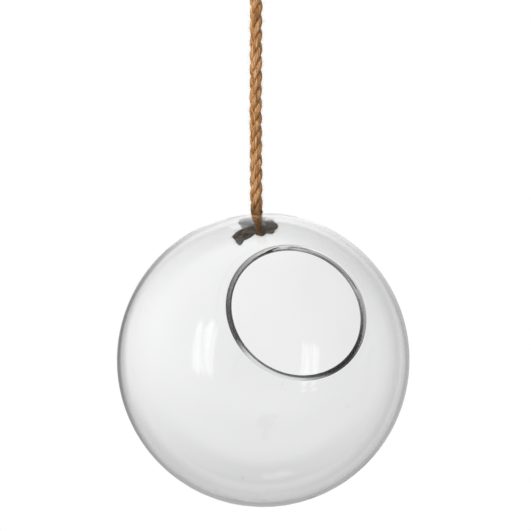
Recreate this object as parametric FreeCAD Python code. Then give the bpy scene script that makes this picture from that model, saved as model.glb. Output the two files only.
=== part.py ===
import FreeCAD, Part
import math
import os

# A clear glass globe that hangs from one jute rope. Millimetres, +Z up.
# The origin is where a hook carries the rope: the inside top of the hanging loop.
# The globe's mouth faces -Y, turned a little to +X and tipped upwards.

Vector = FreeCAD.Vector

# Glass globe
GLOBE_DIAMETER = 200.0
GLOBE_WALL = 2.5
MOUTH_DIAMETER = 80.4
MOUTH_BEAD_THICKNESS = 3.8
MOUTH_TURN_DEG = 14.6
MOUTH_RISE_DEG = 23.9
ROPE_HOLE_DIAMETER = 12.0
ROPE_HOLE_ROUNDING = 0.7
# The rope runs beside the globe's own centre line, over the centre of its weight
GLOBE_OFFSET_RIGHT = 4.6
GLOBE_OFFSET_FRONT = 3.9

# Rope
ROPE_DIAMETER = 8.0
ROPE_FREE_LENGTH = 155.0
TURNING_GAP = 0.3
SEAT_GAP = 0.3

# Hanging loop, over a hook's bar that runs along Y
LOOP_LENGTH = 60.0
LOOP_BEND_DIAMETER = 22.0
LOOP_PARALLEL_LENGTH = 10.0
LEG_GAP = 0.5

# Knot that closes the loop: the rope's end wound round its own standing part
LOOP_KNOT_TURNS = 3
LOOP_KNOT_TURN_GAP = 0.6
LOOP_KNOT_TURN_STEPS = 8
LOOP_KNOT_LEAD_IN = 6.0
LOOP_KNOT_END_LENGTH = 9.0
SWAY_SEAT_RADIUS = 5.5

# Stopper knot: the rope is drawn thinner where it is tight
KNOT_ROPE_DIAMETER = 6.4
TAIL_LENGTH = 6.0
TAIL_END_SPREAD = 0.8

# The overhand knot's route, in diameters of the drawn rope, from the top of its upper turn:
# down through the turn, out to the front, up, behind the standing part, round to the right,
# and out to the left between the standing part and the strand in front.
KNOT_ROUTE_SHARES = [
    (0.00, 0.00, -1.90),
    (-0.05, -0.30, -2.65),
    (-0.15, -1.10, -3.00),
    (-0.35, -1.95, -2.75),
    (-0.65, -2.35, -1.85),
    (-0.95, -1.95, -1.05),
    (-1.35, -1.00, -0.75),
    (-1.35, -0.05, -0.55),
    (-0.85, 0.95, -0.50),
    (0.20, 1.25, -0.65),
    (1.20, 0.90, -1.00),
    (1.65, 0.00, -1.40),
    (1.20, -0.90, -1.70),
    (0.15, -1.25, -1.80),
    (-0.75, -1.10, -1.85),
    (-1.35, -1.15, -2.20),
]

# Fineness of the points on which a rope's gap to itself is measured
GAP_SAMPLE_STEP = 0.5
RUN_SHARE = 0.45

ROPE_RADIUS = ROPE_DIAMETER / 2
KNOT_ROPE_RADIUS = KNOT_ROPE_DIAMETER / 2
GLOBE_RADIUS = GLOBE_DIAMETER / 2
INNER_RADIUS = GLOBE_RADIUS - GLOBE_WALL
LOOP_KNOT_PITCH = ROPE_DIAMETER + LOOP_KNOT_TURN_GAP
COIL_RADIUS = ROPE_DIAMETER + LEG_GAP
COIL_TOP = -LOOP_LENGTH - LOOP_KNOT_LEAD_IN - ROPE_RADIUS
COIL_BOTTOM = COIL_TOP - LOOP_KNOT_TURNS * LOOP_KNOT_PITCH - ROPE_RADIUS
SWAY_PIVOT = COIL_BOTTOM - TURNING_GAP
GLOBE_TOP = COIL_BOTTOM - ROPE_FREE_LENGTH
AXIS_OFFSET = math.hypot(GLOBE_OFFSET_RIGHT, GLOBE_OFFSET_FRONT)
GLOBE_CENTRE = Vector(
    GLOBE_OFFSET_RIGHT,
    -GLOBE_OFFSET_FRONT,
    GLOBE_TOP - math.sqrt(GLOBE_RADIUS**2 - AXIS_OFFSET**2),
)
HOLE_BOTTOM = GLOBE_CENTRE.z + math.sqrt(INNER_RADIUS**2 - AXIS_OFFSET**2)


def rounded_route(points):
    """Straight runs joined by tangent arcs, as large as their runs allow."""
    edges = []
    radii = []
    start = points[0]
    for before, corner, after in zip(points, points[1:], points[2:]):
        back = before - corner
        ahead = after - corner
        half_turn = (math.pi - back.getAngle(ahead)) / 2
        cut = RUN_SHARE * min(back.Length, ahead.Length)
        radius = cut / math.tan(half_turn)
        back.normalize()
        ahead.normalize()
        first = corner + back * cut
        last = corner + ahead * cut
        inward = (back + ahead).normalize()
        to_centre = radius / math.cos(half_turn)
        middle = corner + inward * (to_centre - radius)
        edges.append(Part.LineSegment(start, first).toShape())
        edges.append(Part.Arc(first, middle, last).toShape())
        radii.append(radius)
        start = last
    edges.append(Part.LineSegment(start, points[-1]).toShape())
    return Part.Wire(edges), radii


def swept_rope(name, wire, diameter, least_radius):
    """A round rope along a wire, with its volume checked against section times length."""
    first = wire.Edges[0]
    direction = first.tangentAt(first.FirstParameter)
    section = Part.Wire(Part.makeCircle(diameter / 2, first.valueAt(first.FirstParameter), direction))
    solid = wire.makePipeShell([section], True, False)
    expected = math.pi * diameter**2 / 4 * wire.Length
    print(
        f"{name}: length {wire.Length:.1f}, least bend radius {least_radius:.2f}, "
        f"volume {solid.Volume:.1f} of {expected:.1f}, least gap to itself {self_gap(wire, diameter):.2f}"
    )
    return solid


def self_gap(wire, diameter):
    """Least gap between parts of the rope that lie apart along it."""
    count = max(2, int(wire.Length / GAP_SAMPLE_STEP))
    points = wire.discretize(count)
    step = wire.Length / (count - 1)
    apart = int(math.ceil(math.pi * diameter / 2 / step)) + 1
    least = min(
        points[i].distanceToPoint(points[j])
        for i in range(count)
        for j in range(i + apart, count)
    )
    return least - diameter


def ball(centre, radius):
    """A ball round a pivot, which cuts faces that slide past each other as the rope sways."""
    return Part.makeSphere(radius, centre)


def mouth_axis():
    turn = math.radians(MOUTH_TURN_DEG)
    rise = math.radians(MOUTH_RISE_DEG)
    level = math.cos(rise)
    return Vector(level * math.sin(turn), -level * math.cos(turn), math.sin(rise))


def polar(radius, angle):
    """A point of the globe's profile, by its angle from the mouth's axis."""
    return Vector(radius * math.sin(angle), 0, radius * math.cos(angle))


def glass_globe():
    """One blown shell with a thickened, fire-polished mouth and a rounded hole for the rope."""
    bead = MOUTH_BEAD_THICKNESS / 2
    middle_radius = GLOBE_RADIUS - GLOBE_WALL / 2
    bead_angle = math.asin((MOUTH_DIAMETER / 2 + bead) / middle_radius)

    def meeting(radius):
        share = (radius**2 + middle_radius**2 - bead**2) / (2 * radius * middle_radius)
        return bead_angle + math.acos(share)

    outer_end = meeting(GLOBE_RADIUS)
    inner_end = meeting(INNER_RADIUS)
    bead_centre = polar(middle_radius, bead_angle)
    to_mouth = Vector(-math.cos(bead_angle), 0, math.sin(bead_angle))
    outer = Part.Arc(
        polar(GLOBE_RADIUS, math.pi),
        polar(GLOBE_RADIUS, (math.pi + outer_end) / 2),
        polar(GLOBE_RADIUS, outer_end),
    )
    lip = Part.Arc(
        polar(GLOBE_RADIUS, outer_end),
        bead_centre + to_mouth * bead,
        polar(INNER_RADIUS, inner_end),
    )
    inner = Part.Arc(
        polar(INNER_RADIUS, inner_end),
        polar(INNER_RADIUS, (math.pi + inner_end) / 2),
        polar(INNER_RADIUS, math.pi),
    )
    pole = Part.LineSegment(polar(INNER_RADIUS, math.pi), polar(GLOBE_RADIUS, math.pi))
    profile = Part.Face(Part.Wire([arc.toShape() for arc in (outer, lip, inner, pole)]))
    shell = profile.revolve(Vector(), Vector(0, 0, 1), 360)
    shell.Placement = FreeCAD.Placement(GLOBE_CENTRE, FreeCAD.Rotation(Vector(0, 0, 1), mouth_axis()))
    hole = Part.makeCylinder(
        ROPE_HOLE_DIAMETER / 2, GLOBE_RADIUS, Vector(0, 0, GLOBE_CENTRE.z + GLOBE_RADIUS / 2)
    )
    pierced = shell.cut(hole)
    rims = [edge for edge in pierced.Edges if is_hole_rim(edge)]
    return pierced.makeFillet(ROPE_HOLE_ROUNDING, rims)


def is_hole_rim(edge):
    """True for the two edges where the rope's hole leaves the glass."""
    box = edge.BoundBox
    reach = ROPE_HOLE_DIAMETER / 2 + ROPE_HOLE_ROUNDING
    level = box.ZMax - box.ZMin < GLOBE_WALL / 2
    return level and max(-box.XMin, box.XMax, -box.YMin, box.YMax) < reach


def tangent_point(point, centre, radius, side):
    """Where a line from a point touches a circle in the XZ plane, on the given side."""
    to_centre = centre - point
    swing = math.asin(radius / to_centre.Length) * side
    reach = math.sqrt(to_centre.Length**2 - radius**2)
    direction = FreeCAD.Rotation(Vector(0, 1, 0), math.degrees(swing)).multVec(to_centre)
    return point + direction.normalize() * reach


def leg(low, bend, high):
    """The lower end of a loop's leg: upright, then bent towards the hook's bar."""
    wire, radii = rounded_route([low, bend, high])
    return wire.Edges, radii[0]


def hanging_loop():
    """The loop under load: a round bend over the hook and two straight legs."""
    radius = LOOP_BEND_DIAMETER / 2
    centre = Vector(0, 0, ROPE_RADIUS - radius)
    foot = -LOOP_LENGTH - ROPE_RADIUS
    bend = -LOOP_LENGTH + LOOP_PARALLEL_LENGTH
    left_touch = tangent_point(Vector(0, 0, bend), centre, radius, -1)
    right_touch = tangent_point(Vector(COIL_RADIUS, 0, bend), centre, radius, 1)
    left, left_radius = leg(Vector(0, 0, foot), Vector(0, 0, bend), left_touch)
    right, right_radius = leg(
        Vector(COIL_RADIUS, 0, foot), Vector(COIL_RADIUS, 0, bend), right_touch
    )
    top = Part.Arc(left_touch, Vector(0, 0, ROPE_RADIUS), right_touch).toShape()
    wire = Part.Wire(Part.__sortEdges__([*left, top, *right]))
    least = min(left_radius, right_radius, radius)
    rope = swept_rope("hanging_loop", wire, ROPE_DIAMETER, least)
    return rope.common(ball(Vector(), LOOP_LENGTH))


def coil_point(angle_deg, height):
    """A point of the wound end, set out so that the rope's arcs pass at the coil's radius."""
    reach = COIL_RADIUS / math.cos(math.pi / LOOP_KNOT_TURN_STEPS)
    angle = math.radians(angle_deg)
    return Vector(reach * math.cos(angle), reach * math.sin(angle), height)


def loop_knot():
    """The wound end and the standing part inside it."""
    step = 360 / LOOP_KNOT_TURN_STEPS
    drop = LOOP_KNOT_PITCH / LOOP_KNOT_TURN_STEPS
    lead = -LOOP_LENGTH - LOOP_KNOT_LEAD_IN
    points = [
        Vector(COIL_RADIUS, 0, -LOOP_LENGTH + ROPE_RADIUS),
        Vector(COIL_RADIUS, 0, lead + ROPE_RADIUS),
        coil_point(step / 2, lead),
    ]
    for index in range(LOOP_KNOT_TURNS * LOOP_KNOT_TURN_STEPS):
        points.append(coil_point(step * (index + 1.5), COIL_TOP - drop * (index + 0.5)))
    last = points[-1]
    along = (last - points[-2]).normalize()
    points.append(last + (along + Vector(0, 0, -1)).normalize() * LOOP_KNOT_END_LENGTH)
    wire, radii = rounded_route(points)
    coil = swept_rope("loop_knot", wire, ROPE_DIAMETER, min(radii))
    core = Part.makeCylinder(
        ROPE_RADIUS, LOOP_LENGTH, Vector(0, 0, SWAY_PIVOT - SWAY_SEAT_RADIUS)
    )
    above_seat = Part.makeCylinder(ROPE_DIAMETER, LOOP_LENGTH, Vector(0, 0, SWAY_PIVOT))
    core = core.common(above_seat.fuse(ball(Vector(0, 0, SWAY_PIVOT), SWAY_SEAT_RADIUS)))
    outside = ball(Vector(), LOOP_LENGTH + TURNING_GAP)
    return Part.makeCompound([coil.cut(outside), core.cut(outside)])


def hanging_rope():
    """The straight stretch that carries the globe."""
    foot = HOLE_BOTTOM + TURNING_GAP
    rope = Part.makeCylinder(ROPE_RADIUS, SWAY_PIVOT - foot, Vector(0, 0, foot))
    return rope.cut(ball(Vector(0, 0, SWAY_PIVOT), SWAY_SEAT_RADIUS + TURNING_GAP))


def knot_route():
    """The stopper knot's points, raised until its upper turn seats under the glass."""
    points = [Vector(*share) * KNOT_ROPE_DIAMETER for share in KNOT_ROUTE_SHARES]
    wire, _ = rounded_route(points)
    count = int(wire.Length / GAP_SAMPLE_STEP)
    beside_hole = [
        point for point in wire.discretize(count) if math.hypot(point.x, point.y) > KNOT_ROPE_DIAMETER
    ]
    shift = min(seat_height(point) - point.z for point in beside_hole)
    return [Vector(0, 0, HOLE_BOTTOM)] + [point + Vector(0, 0, shift) for point in points]


def seat_height(point):
    """How high the drawn rope's centre may be, above a place, before it meets the glass."""
    reach = INNER_RADIUS - SEAT_GAP - KNOT_ROPE_RADIUS
    aside = math.hypot(point.x - GLOBE_CENTRE.x, point.y - GLOBE_CENTRE.y)
    return GLOBE_CENTRE.z + math.sqrt(reach**2 - aside**2)


def stopper_knot():
    """A real overhand knot: one rope that passes through its own turn."""
    wire, radii = rounded_route(knot_route())
    return swept_rope("stopper_knot", wire, KNOT_ROPE_DIAMETER, min(radii))


def rope_tail():
    """The short cut end, a little spread where its strands open."""
    route = knot_route()
    along = (route[-1] - route[-2]).normalize()
    return Part.makeCone(
        KNOT_ROPE_RADIUS, KNOT_ROPE_RADIUS + TAIL_END_SPREAD / 2, TAIL_LENGTH, route[-1], along
    )


PIECES = {
    "glass_globe": glass_globe,
    "hanging_loop": hanging_loop,
    "loop_knot": loop_knot,
    "hanging_rope": hanging_rope,
    "stopper_knot": stopper_knot,
    "rope_tail": rope_tail,
}

os.makedirs("parts", exist_ok=True)
for node, make in PIECES.items():
    shape = make()
    shape.exportStep(f"parts/{node}.step")
    centre = shape.Solids[0].CenterOfMass
    print(f"{node}: {len(shape.Solids)} solid, volume {shape.Volume / 1000:.2f} cm3, centre {centre}")
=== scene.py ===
import logging
import math
from dataclasses import dataclass
from enum import Enum
from typing import Callable, Mapping, Sequence

import bpy
import numpy as np
from bpy.types import Light, Material, Mesh, Node, NodeSocket, NodeTree, Object, World
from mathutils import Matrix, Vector, noise


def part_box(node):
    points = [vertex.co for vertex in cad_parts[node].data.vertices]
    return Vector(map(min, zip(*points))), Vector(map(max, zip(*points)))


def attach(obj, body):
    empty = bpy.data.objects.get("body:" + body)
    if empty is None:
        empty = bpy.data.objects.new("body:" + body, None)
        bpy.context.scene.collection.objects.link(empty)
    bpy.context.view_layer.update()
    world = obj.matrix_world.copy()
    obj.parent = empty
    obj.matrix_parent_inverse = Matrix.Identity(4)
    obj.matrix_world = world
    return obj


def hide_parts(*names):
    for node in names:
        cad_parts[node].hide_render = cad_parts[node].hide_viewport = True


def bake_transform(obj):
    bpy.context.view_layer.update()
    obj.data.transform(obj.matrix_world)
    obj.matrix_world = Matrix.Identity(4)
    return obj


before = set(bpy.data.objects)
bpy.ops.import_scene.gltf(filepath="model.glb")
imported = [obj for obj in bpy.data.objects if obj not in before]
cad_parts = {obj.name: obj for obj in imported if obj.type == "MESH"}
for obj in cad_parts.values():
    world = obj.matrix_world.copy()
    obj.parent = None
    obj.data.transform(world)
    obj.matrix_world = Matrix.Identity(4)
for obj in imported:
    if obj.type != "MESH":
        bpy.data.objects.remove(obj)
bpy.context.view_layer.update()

MM = 0.001
LEAST_STEP = 1e-9
WHITE = (1.0, 1.0, 1.0, 1.0)
Colour = tuple[float, float, float, float]
Triple = tuple[float, float, float]
Pairs = tuple[tuple[float, float], ...]
log = logging.getLogger("hanging_globe")


class Body(Enum):
    """The bodies of the frame that the pieces ride on."""

    LOOP = "loop"
    UPPER_KNOT = "upper_knot"
    ROPE = "rope"
    LOWER_KNOT = "lower_knot"
    GLOBE = "globe"


class Slot(Enum):
    """The record's material slots."""

    GLASS = "clear_glass"
    ROPE = "jute_rope"


@dataclass(frozen=True)
class Seat:
    """The body that a piece rides on, or the two bodies that it lies between, where it rides on neither.

    Attributes:
        body: The body, or the upper one of the two.
        lower: The lower body.
        start: Height where the bend starts, in metres; not used.
        end: Height where it ends; not used.
    """

    body: Body
    lower: Body | None = None
    start: float = 0.0
    end: float = 0.0

    def place(self, piece: Object) -> None:
        """Sets a piece on its body, or, between two bodies, only bakes its transform into its mesh.

        Args:
            piece: The piece.
        """
        if self.lower is None:
            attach(piece, self.body.value)
        else:
            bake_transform(piece)


# Numbers


def fade(values: np.ndarray, start: float | np.ndarray, end: float | np.ndarray) -> np.ndarray:
    """Gives 0 up to the start, 1 past the end, and an even rise between them."""
    return np.clip((values - start) / (end - start), 0, 1)


def unit(rows: np.ndarray) -> np.ndarray:
    """Scales each row to a length of one."""
    return rows / np.linalg.norm(rows, axis=1)[:, None]


def across(rows: np.ndarray, axis: np.ndarray) -> np.ndarray:
    """Takes away from each row what lies along a unit axis."""
    return rows - axis * (rows @ axis)[:, None]


def direction(turn: float, rise: float) -> Vector:
    """Unit direction from degrees to the right of the front and degrees up."""
    turn, rise = math.radians(turn), math.radians(rise)
    return Vector((math.cos(rise) * math.sin(turn), -math.cos(rise) * math.cos(turn), math.sin(rise)))


def ring_about(row: np.ndarray, axis: np.ndarray, reach: float, height: float) -> np.ndarray:
    """Moves a ring's corners to a reach from an axis and a height along it."""
    return unit(across(row, axis)) * reach + axis * height


def noise_at(places: np.ndarray) -> np.ndarray:
    """Gives the noise at each of some places."""
    return np.array([noise.noise(Vector(place)) for place in places])


def reach_along(points: np.ndarray) -> np.ndarray:
    """Length along a line of points, up to each of them."""
    return np.concatenate(([0.0], np.cumsum(np.linalg.norm(np.diff(points, axis=0), axis=1))))


# Meshes


def new_object(name: str, mesh: Mesh, material: Material) -> Object:
    """Puts a mesh into the scene as a finished piece.

    Args:
        name: The piece's name.
        mesh: Its mesh, in the object's own frame.
        material: The finish of all its faces.

    Returns:
        The new object, at the origin.
    """
    piece = bpy.data.objects.new(name, mesh)
    mesh.materials.clear()
    mesh.materials.append(material)
    bpy.context.collection.objects.link(piece)
    return piece


def smooth_mesh(name: str, points: np.ndarray, faces: Sequence[Sequence[int]]) -> Mesh:
    """Makes a mesh with all its faces smooth.

    Args:
        name: The mesh's name.
        points: Its corners, one row each, in metres.
        faces: The corners of each face, in order.

    Returns:
        The new mesh.
    """
    mesh = bpy.data.meshes.new(name)
    mesh.from_pydata(points.tolist(), [], [list(face) for face in faces])
    mesh.polygons.foreach_set("use_smooth", [True] * len(mesh.polygons))
    mesh.update()
    return mesh


def corners(mesh: Mesh) -> np.ndarray:
    """Places of a mesh's corners, one row each."""
    return np.array([vertex.co for vertex in mesh.vertices])


def ring_faces(first: int, second: int, count: int) -> list[tuple[int, ...]]:
    """Joins two closed rings of as many corners, from the first corner of each."""
    pairs = [(corner, (corner + 1) % count) for corner in range(count)]
    return [(first + one, first + two, second + two, second + one) for one, two in pairs]


def tube_faces(base: int, rings: int, count: int) -> list[tuple[int, ...]]:
    """Joins a row of rings and closes both its ends.

    Args:
        base: Index of the first ring's first corner.
        rings: How many rings.
        count: Corners in each ring.

    Returns:
        The tube's faces, which look outwards.
    """
    faces: list[tuple[int, ...]] = []
    last = base + (rings - 1) * count
    for start in range(base, last, count):
        faces += ring_faces(start, start + count, count)
    faces.append(tuple(range(base + count - 1, base - 1, -1)))
    faces.append(tuple(range(last, last + count)))
    return faces


def store_attribute(mesh: Mesh, name: str, kind: str, values: np.ndarray) -> None:
    """Keeps one value, with kind FLOAT, or one vector, with FLOAT_VECTOR, for each corner of a mesh."""
    attribute = mesh.attributes.new(name, kind, "POINT")
    attribute.data.foreach_set("value" if kind == "FLOAT" else "vector", values.astype(np.float32).ravel())


# Shader building blocks


class NodeBoard:
    """A node tree with short ways to add nodes and wires."""

    def __init__(self, tree: NodeTree) -> None:
        """Takes the tree over and empties it."""
        self.tree = tree
        tree.nodes.clear()

    @classmethod
    def of(cls, owner: Material | World | Light) -> "NodeBoard":
        """Takes over the nodes of a material, a world or a light."""
        owner.use_nodes = True
        return cls(owner.node_tree)

    def add(self, kind: str, inputs: Mapping[str | int, object] | None = None, **settings: object) -> Node:
        """Adds a node.

        Args:
            kind: The node's type name.
            inputs: Its inputs, by name or index, each with an output socket or a plain value.
            **settings: Properties set on the node before its inputs.

        Returns:
            The new node.
        """
        node = self.tree.nodes.new(kind)
        for name, value in settings.items():
            setattr(node, name, value)
        for socket, source in (inputs or {}).items():
            self.feed(node, socket, source)
        return node

    def feed(self, node: Node, socket: str | int, source: object) -> None:
        """Wires a socket to another node's output, or sets its value.

        Args:
            node: The node that takes the input.
            socket: Name or index of its input.
            source: An output socket or a plain value.
        """
        target = node.inputs[socket]
        if isinstance(source, NodeSocket):
            self.tree.links.new(source, target)
        else:
            target.default_value = source

    def math(self, operation: str, *sources: object, clamp: bool = False) -> NodeSocket:
        """Adds a Math node and gives its output."""
        node = self.add("ShaderNodeMath", dict(enumerate(sources)), operation=operation, use_clamp=clamp)
        return node.outputs[0]

    def rise(
        self, value: object, low: float, high: float, bottom: float = 0.0, top: float = 1.0
    ) -> NodeSocket:
        """Maps a value smoothly from the range of low to high to that of bottom to top."""
        inputs = dict(enumerate((value, low, high, bottom, top)))
        return self.add("ShaderNodeMapRange", inputs, interpolation_type="SMOOTHSTEP", clamp=True).outputs[0]

    def ramp(self, value: object, stops: Pairs, reach: float) -> NodeSocket:
        """Reads a grey value from a table of stops.

        Args:
            value: The value to look up.
            stops: Places from 0 to the reach, each with its grey value.
            reach: The place at the ramp's right end.

        Returns:
            The grey value at that place.
        """
        node = self.add("ShaderNodeValToRGB", {0: self.math("DIVIDE", value, reach)})
        band = node.color_ramp
        band.interpolation = "EASE"
        while len(band.elements) < len(stops):
            band.elements.new(0.5)
        for element, (place, _) in zip(band.elements, stops):
            element.position = place / reach
        for element, (_, grey) in zip(band.elements, stops):
            element.color = (grey, grey, grey, 1.0)
        return node.outputs[0]

    def mix(self, share: object, first: object, second: object) -> NodeSocket:
        """Mixes two colours and gives the result."""
        return self.add("ShaderNodeMix", {0: share, 6: first, 7: second}, data_type="RGBA").outputs[2]

    def noise(self, vector: object, scale: float, detail: float, roughness: float = 0.5) -> NodeSocket:
        """Adds a Noise Texture and gives its value."""
        inputs = {"Vector": vector, "Scale": scale, "Detail": detail, "Roughness": roughness}
        return self.add("ShaderNodeTexNoise", inputs).outputs["Fac"]

    def mapped(self, vector: object, turn: Triple, scale: Triple) -> NodeSocket:
        """Turns and stretches a vector."""
        inputs = {"Vector": vector, "Rotation": turn, "Scale": scale}
        return self.add("ShaderNodeMapping", inputs).outputs[0]

    def parts(self, vector: object) -> bpy.types.NodeOutputs:
        """Splits a vector into its three values."""
        return self.add("ShaderNodeSeparateXYZ", {0: vector}).outputs

    def attribute(self, name: str, output: str = "Fac") -> NodeSocket:
        """Reads an attribute of the mesh."""
        return self.add("ShaderNodeAttribute", attribute_name=name).outputs[output]

    def bump(self, height: object, depth: float) -> NodeSocket:
        """Turns a height from 0 to 1 into a normal, for a relief of a depth in metres."""
        return self.add("ShaderNodeBump", {"Height": height, "Distance": depth, "Strength": 1.0}).outputs[0]

    def surface(self, inputs: Mapping[str, object]) -> None:
        """Makes the Principled BSDF with these inputs the material's surface."""
        shader = self.add("ShaderNodeBsdfPrincipled", inputs)
        self.add("ShaderNodeOutputMaterial", {"Surface": shader.outputs[0]})


def add_sockets(tree: NodeTree, way: str, kinds: Mapping[str, str]) -> None:
    """Gives a node tree its named inputs or outputs."""
    for name, kind in kinds.items():
        tree.interface.new_socket(name, in_out=way, socket_type="NodeSocket" + kind)


def linear(red: int, green: int, blue: int) -> Colour:
    """Turns a screen colour from 0 to 255 into the linear colour that shaders take."""
    shares = (channel / 255 for channel in (red, green, blue))
    return (*(s / 12.92 if s <= 0.04045 else ((s + 0.055) / 1.055) ** 2.4 for s in shares), 1.0)


def jute_group() -> NodeTree:
    """Builds the shader group of jute fibre, shared by the strands and the loose fibres.

    Returns:
        A group that takes a fibre vector, three colours and the depth in a groove, which it paints
        as shade, and gives colour, roughness and height.
    """
    tree = bpy.data.node_groups.new("jute_fibre", "ShaderNodeTree")
    tones = {"Dark": "Color", "Middle": "Color", "Light": "Color"}
    add_sockets(tree, "INPUT", {"Fibre": "Vector", **tones, "Groove": "Float"})
    add_sockets(tree, "OUTPUT", {"Color": "Color", "Roughness": "Float", "Height": "Float"})
    board = NodeBoard(tree)
    given = board.add("NodeGroupInput").outputs

    def along(squeeze: Triple, scale: float, detail: float, roughness: float = 0.5) -> NodeSocket:
        """Noise that is drawn out along the fibres."""
        drawn = board.add("ShaderNodeVectorMath", {0: given["Fibre"], 1: squeeze}, operation="MULTIPLY")
        return board.noise(drawn.outputs[0], scale, detail, roughness)

    def blend(first: object, second: object) -> NodeSocket:
        """Six parts of one noise and four of another."""
        return board.math("ADD", board.math("MULTIPLY", first, 0.6), board.math("MULTIPLY", second, 0.4))

    streaks = along((1.0, 1.0, 0.10), scale=3.4, detail=5.0, roughness=0.62)
    patches = along((0.7, 0.7, 0.22), scale=1.5, detail=3.0)
    hairs = along((1.0, 1.0, 0.06), scale=16.0, detail=3.0, roughness=0.7)
    both = blend(streaks, patches)
    paleness = board.rise(both, low=0.48, high=0.60)
    darkness = board.math("MULTIPLY", board.rise(both, low=0.50, high=0.38), 0.75)
    body = board.mix(paleness, given["Middle"], given["Light"])
    body = board.mix(darkness, body, given["Dark"])
    # Painted shade: the deeper in a groove, the nearer the colour goes to the dark tone.
    groove_shade = board.math("MULTIPLY", given["Groove"], 0.55, clamp=True)
    results = {
        "Color": board.mix(groove_shade, body, given["Dark"]),
        "Roughness": board.rise(hairs, low=0.3, high=0.7, bottom=0.72, top=0.95),
        "Height": blend(streaks, hairs),
    }
    board.add("NodeGroupOutput", results)
    return tree


# Finishes


@dataclass(frozen=True)
class ClearGlass:
    """Blown clear glass, with the faint ripple of hand work.

    Attributes:
        tint: Colour of the light that passes through.
        painted_lip_shade: Near-black colour that the lip takes where shade is painted on it.
        painted_lip_glow_colour: Colour of the glow painted on the lip as light, where no lamp is.
        ior: Index of refraction.
        ripple_scale: Ripples in each metre.
        ripple_lean: How far the ripples lean, in degrees.
        ripple_squeeze: How many ripples go up for each one across.
        ripple_height: Height of the ripple, in metres.
    """

    tint: Colour = (0.984, 0.988, 0.986, 1.0)
    painted_lip_shade: Colour = (0.016, 0.016, 0.016, 1.0)
    painted_lip_glow_colour: Colour = (1.0, 1.0, 0.98, 1.0)
    ior: float = 1.5
    ripple_scale: float = 34.0
    ripple_lean: float = 14.0
    ripple_squeeze: float = 0.28
    ripple_height: float = 0.1 * MM

    def material(self) -> Material:
        """Builds the glass material.

        Returns:
            The new material, which reads one lip attribute for its painted shade and another for its painted
            glow.
        """
        material = bpy.data.materials.new("clear_glass_blown")
        board = NodeBoard.of(material)
        place = board.add("ShaderNodeTexCoord").outputs["Object"]
        lean = (0.0, math.radians(self.ripple_lean), 0.0)
        leaning = board.mapped(place, lean, (1.0, 1.0, self.ripple_squeeze))
        ripple = board.noise(leaning, self.ripple_scale, detail=1.0)
        board.surface(
            {
                # Painted shade: the lip attribute turns the glass near-black round the mouth.
                "Base Color": board.mix(board.attribute("lip"), self.tint, self.painted_lip_shade),
                "Roughness": 0.0,
                "IOR": self.ior,
                "Metallic": 0.0,
                "Transmission Weight": 1.0,
                "Normal": board.bump(ripple, self.ripple_height),
                # Painted light: the lip glows from its attribute, though no lamp is there.
                "Emission Color": self.painted_lip_glow_colour,
                "Emission Strength": board.attribute("guided_light"),
            }
        )
        return material


@dataclass(frozen=True)
class JuteFibre:
    """Natural jute, in three tones.

    Attributes:
        dark: The tone of dark fibres, and of the shade painted in grooves.
        middle: The common tone.
        light: The tone of pale fibres.
        bump: Height of the fibres, in metres.
    """

    dark: Colour = linear(82, 52, 28)
    middle: Colour = linear(178, 124, 72)
    light: Colour = linear(222, 180, 130)
    bump: float = 0.25 * MM

    def material(self, name: str, group: NodeTree) -> Material:
        """Builds the rope material.

        Args:
            name: The material's name.
            group: The shared jute fibre group.

        Returns:
            The new material, which reads the fibre attribute, and the groove attribute for its painted
            shade.
        """
        material = bpy.data.materials.new(name)
        board = NodeBoard.of(material)
        inputs = {
            "Fibre": board.attribute("fibre", "Vector"),
            "Groove": board.attribute("groove"),
            "Dark": self.dark,
            "Middle": self.middle,
            "Light": self.light,
        }
        jute = board.add("ShaderNodeGroup", inputs, node_tree=group).outputs
        board.surface(
            {
                "Base Color": jute["Color"],
                "Roughness": jute["Roughness"],
                "Specular IOR Level": 0.25,
                "Sheen Weight": 0.15,
                "Normal": board.bump(jute["Height"], self.bump),
            }
        )
        return material


# Rope


def smooth_line(name: str, route: Sequence[Triple], step: float) -> np.ndarray:
    """Reads points at an even step from the smooth curve of a route.

    Args:
        name: A name for the curve.
        route: The route's points in metres, which are the curve's control points.
        step: Distance between the points read, in metres.

    Returns:
        One row for each point, in metres.
    """
    curve = bpy.data.curves.new(name, "CURVE")
    curve.dimensions = "3D"
    curve.resolution_u = 24
    spline = curve.splines.new("NURBS")
    spline.points.add(len(route) - 1)
    for point, place in zip(spline.points, route):
        point.co = (*place, 1.0)
    spline.order_u = 3
    spline.use_endpoint_u = True
    holder = bpy.data.objects.new(name, curve)
    line = bpy.data.meshes.new_from_object(holder)
    points = corners(line)
    bpy.data.objects.remove(holder)
    bpy.data.curves.remove(curve)
    bpy.data.meshes.remove(line)
    reach = reach_along(points)
    keep = np.concatenate(([True], np.diff(reach) > LEAST_STEP))
    count = max(2, int(round(reach[-1] / step)) + 1)
    even = np.linspace(0.0, reach[-1], count)
    return np.stack([np.interp(even, reach[keep], points[keep, axis]) for axis in range(3)], axis=1)


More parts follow.
